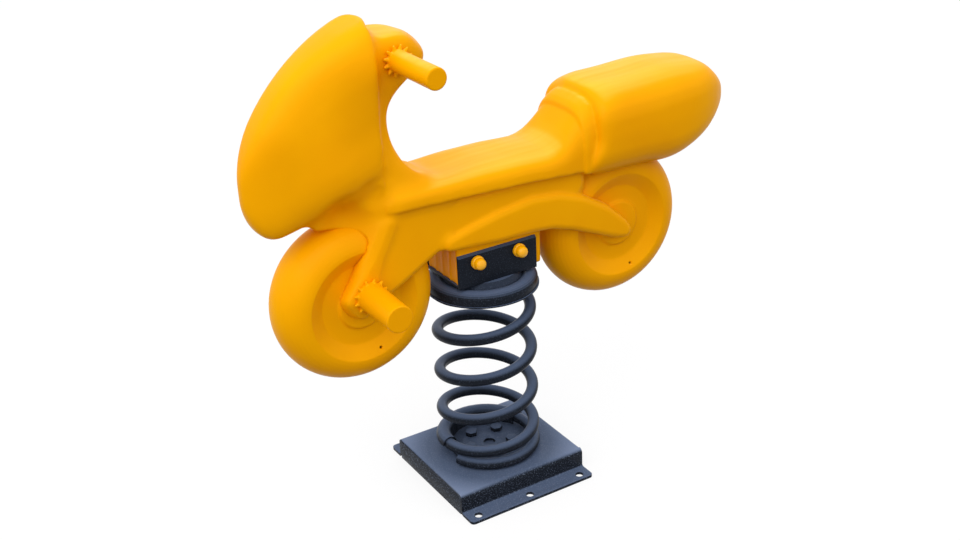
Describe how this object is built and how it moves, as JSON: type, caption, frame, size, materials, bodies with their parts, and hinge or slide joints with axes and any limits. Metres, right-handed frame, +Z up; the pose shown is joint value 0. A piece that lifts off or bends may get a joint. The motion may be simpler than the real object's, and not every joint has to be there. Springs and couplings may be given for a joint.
{
  "type": "spring rider",
  "caption": "Playground spring rider: a hollow moulded motorcycle with a seat, handles and footrests, clamped to a heavy coil spring on a bolt-down steel base.",
  "frame": {"origin": "on the ground, under the spring's axis, at the centre of the base's anchor hole pattern", "axes": "+X towards the front of the rider, +Y to its left, +Z up along the spring's axis"},
  "size_m": [0.8925, 0.332, 0.8486],
  "materials": {
    "yellow_moulding": "satin rotationally moulded polyethylene",
    "yellow_cap": "gloss injection moulded cap",
    "powder_coated_steel": "satin powder coat",
    "zinc_plated_steel": "zinc plated"
  },
  "bodies": {
    "base": {"base_pan": "powder_coated_steel", "lower_clamp_plate": "powder_coated_steel", "lower_spring_clip": "powder_coated_steel", "lower_clamp_bolts": "powder_coated_steel", "lower_clamp_nuts": "zinc_plated_steel"},
    "spring": {"coil_spring": "powder_coated_steel"},
    "rider": {"upper_spring_seat": "powder_coated_steel", "upper_clamp_plate": "powder_coated_steel", "upper_clamp_bolts": "powder_coated_steel", "upper_clamp_nuts": "zinc_plated_steel", "saddle_bracket": "powder_coated_steel", "keel_spacers": "zinc_plated_steel", "keel_bolts": "zinc_plated_steel", "keel_nuts": "zinc_plated_steel", "bolt_cap_feet": "yellow_cap", "bolt_cap_domes": "yellow_cap", "body_shell": "yellow_moulding", "seat_shell": "yellow_moulding", "tail_shell": "yellow_moulding", "neck_shell": "yellow_moulding", "front_fairing": "yellow_moulding", "front_wheel": "yellow_moulding", "rear_wheel": "yellow_moulding", "handlebar_tube": "zinc_plated_steel", "left_handle": "yellow_moulding", "right_handle": "yellow_moulding", "footrest_tube": "zinc_plated_steel", "left_footrest": "yellow_moulding", "right_footrest": "yellow_moulding"}
  },
  "joints": [
    {"name": "rock_fore_aft", "type": "hinge", "parent": "base", "child": "spring", "pos_m": [0, 0, 0.21], "axis": [0, 1, 0], "range_deg": [-15, 15], "stiffness_Nm_per_rad": 650, "deforming": ["coil_spring"]},
    {"name": "rock_sideways", "type": "hinge", "parent": "spring", "child": "rider", "pos_m": [0, 0, 0.21], "axis": [1, 0, 0], "range_deg": [-10, 10], "stiffness_Nm_per_rad": 650, "deforming": ["coil_spring"]}
  ]
}
